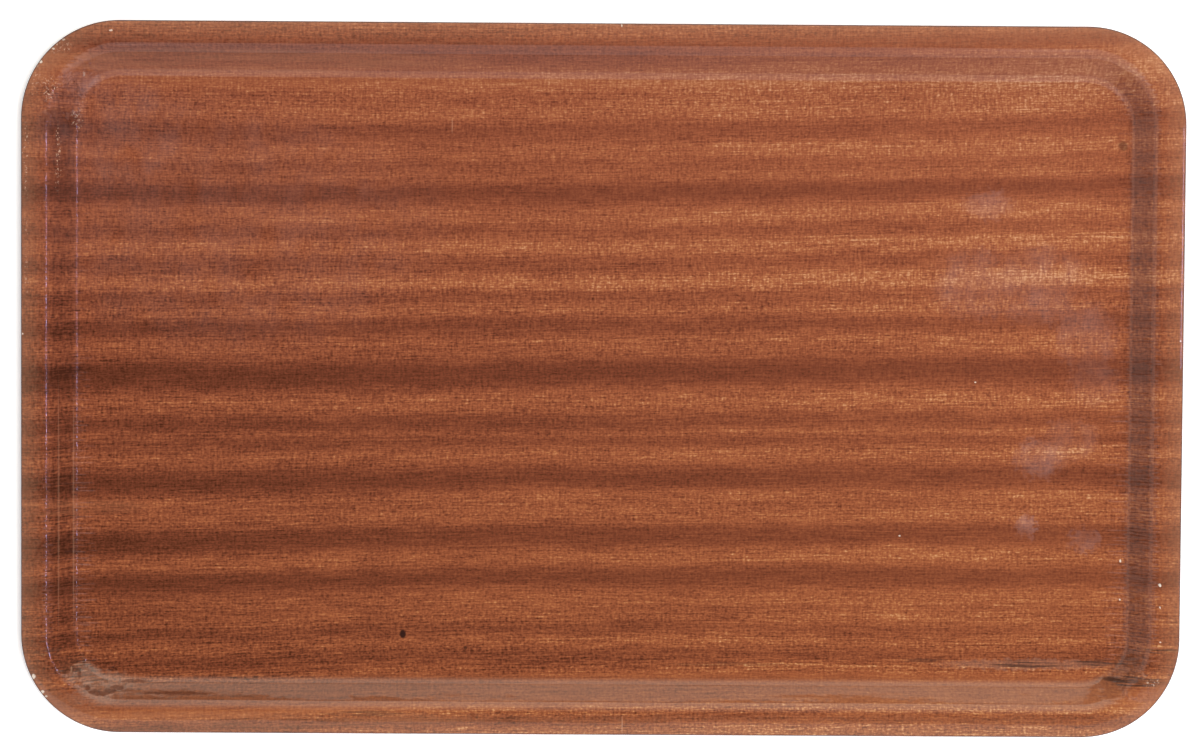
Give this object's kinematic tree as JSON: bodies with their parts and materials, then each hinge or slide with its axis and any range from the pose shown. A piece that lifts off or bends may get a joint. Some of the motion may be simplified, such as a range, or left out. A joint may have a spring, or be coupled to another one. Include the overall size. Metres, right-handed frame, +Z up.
{
  "type": "gastronorm tray",
  "caption": "Shallow rectangular serving tray pressed from laminated wood, with rounded corners and a raised flanged rim, size 1/1.",
  "frame": {"origin": "middle of the flat underside, on the surface that the tray rests on", "axes": "+X along the length and the grain of the face veneer, +Y along the width, +Z up out of the dish"},
  "size_m": [0.53, 0.325, 0.018],
  "materials": {
    "melamine_overlay": "sapele veneer under a clear, hard, glossy melamine-resin film",
    "sapele_veneer": "resin-filled ribbon-stripe veneer",
    "birch_long_grain": "sanded long grain at the edge",
    "birch_cross_grain": "sanded end grain at the edge"
  },
  "bodies": {
    "root": {"top_overlay": "melamine_overlay", "top_face_veneer": "sapele_veneer", "core_ply_5_cross": "birch_cross_grain", "core_ply_4_long": "birch_long_grain", "core_ply_3_cross": "birch_cross_grain", "core_ply_2_long": "birch_long_grain", "core_ply_1_cross": "birch_cross_grain", "underside_face_veneer": "sapele_veneer", "underside_overlay": "melamine_overlay"}
  },
  "joints": []
}
